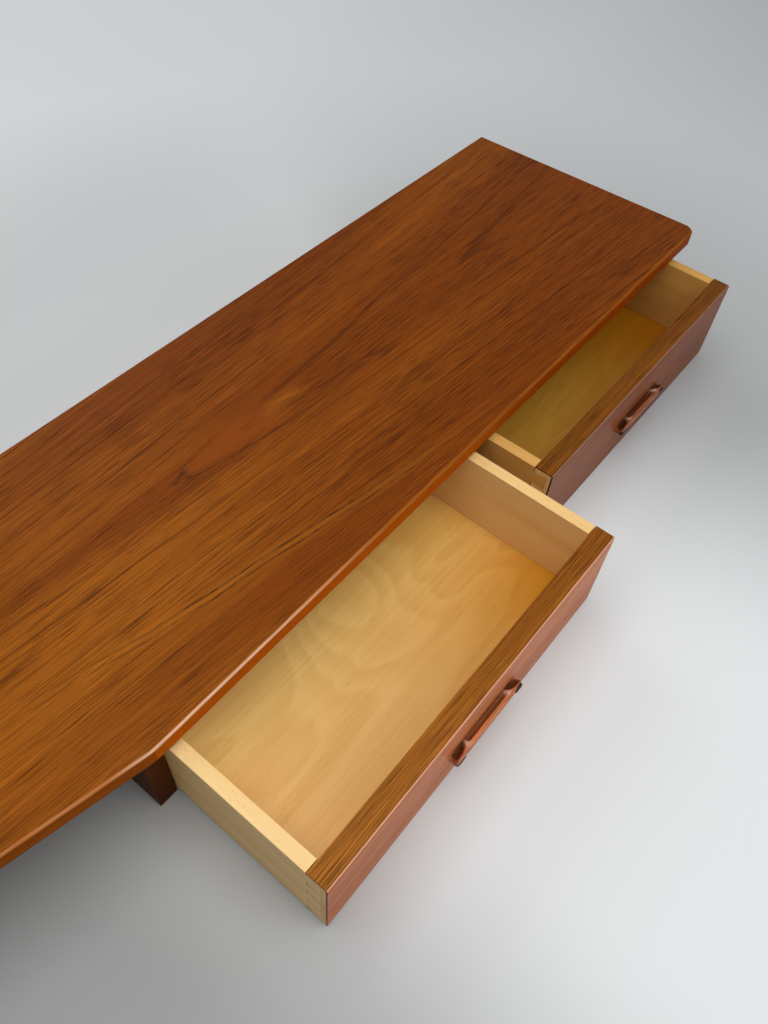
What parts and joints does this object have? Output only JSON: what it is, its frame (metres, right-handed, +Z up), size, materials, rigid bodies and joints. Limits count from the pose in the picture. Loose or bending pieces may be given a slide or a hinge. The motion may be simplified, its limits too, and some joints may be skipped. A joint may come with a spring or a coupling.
{
  "type": "wall-mounted console table",
  "caption": "Shallow wall-hung console table in teak: a lipped top with an angled wing at one end, over a low case with side-by-side dovetailed drawers and carved pulls.",
  "frame": {"origin": "on the wall plane, at the middle of the top's length along the wall and at half the case's height", "axes": "+X along the wall to the viewer's right, +Y into the wall, +Z up; the drawers open towards -Y"},
  "size_m": [1.2178, 0.4725, 0.125],
  "materials": {
    "teak": "oiled teak, satin",
    "beech": "pale hardwood, satin lacquer",
    "plywood": "pale plywood, satin lacquer",
    "steel": "plain steel",
    "brass": "plain brass"
  },
  "bodies": {
    "case": {"top_board": "teak", "right_lipping": "teak", "front_lipping": "teak", "wing_lipping": "teak", "left_lipping": "teak", "left_side": "teak", "right_side": "teak", "divider": "teak", "back_board": "teak", "left_runner": "beech", "left_runner_screw_front": "steel", "left_runner_screw_rear": "steel", "centre_left_runner": "beech", "centre_left_runner_screw_front": "steel", "centre_left_runner_screw_rear": "steel", "centre_right_runner": "beech", "centre_right_runner_screw_front": "steel", "centre_right_runner_screw_rear": "steel", "right_runner": "beech", "right_runner_screw_front": "steel", "right_runner_screw_rear": "steel", "left_dowel_front": "beech", "left_dowel_rear": "beech", "divider_dowel_front": "beech", "divider_dowel_rear": "beech", "right_dowel_front": "beech", "right_dowel_rear": "beech", "left_hanger": "steel", "left_hanger_screw_upper": "steel", "left_hanger_screw_lower": "steel", "right_hanger": "steel", "right_hanger_screw_upper": "steel", "right_hanger_screw_lower": "steel"},
    "left_drawer": {"left_drawer_front": "beech", "left_drawer_face_veneer": "teak", "left_drawer_top_strip": "teak", "left_drawer_left_side": "beech", "left_drawer_right_side": "beech", "left_drawer_back": "beech", "left_drawer_bottom": "plywood", "left_drawer_pull": "teak", "left_drawer_pull_screw_left": "brass", "left_drawer_pull_screw_right": "brass", "left_drawer_bottom_screw_left": "steel", "left_drawer_bottom_screw_right": "steel"},
    "right_drawer": {"right_drawer_front": "beech", "right_drawer_face_veneer": "teak", "right_drawer_top_strip": "teak", "right_drawer_left_side": "beech", "right_drawer_right_side": "beech", "right_drawer_back": "beech", "right_drawer_bottom": "plywood", "right_drawer_pull": "teak", "right_drawer_pull_screw_left": "brass", "right_drawer_pull_screw_right": "brass", "right_drawer_bottom_screw_left": "steel", "right_drawer_bottom_screw_right": "steel"}
  },
  "joints": [
    {"name": "left_drawer_slide", "type": "slide", "parent": "case", "child": "left_drawer", "axis": [0, -1, 0], "range_m": [-0.165, 0.055]},
    {"name": "right_drawer_slide", "type": "slide", "parent": "case", "child": "right_drawer", "axis": [0, -1, 0], "range_m": [-0.085, 0.135]}
  ]
}
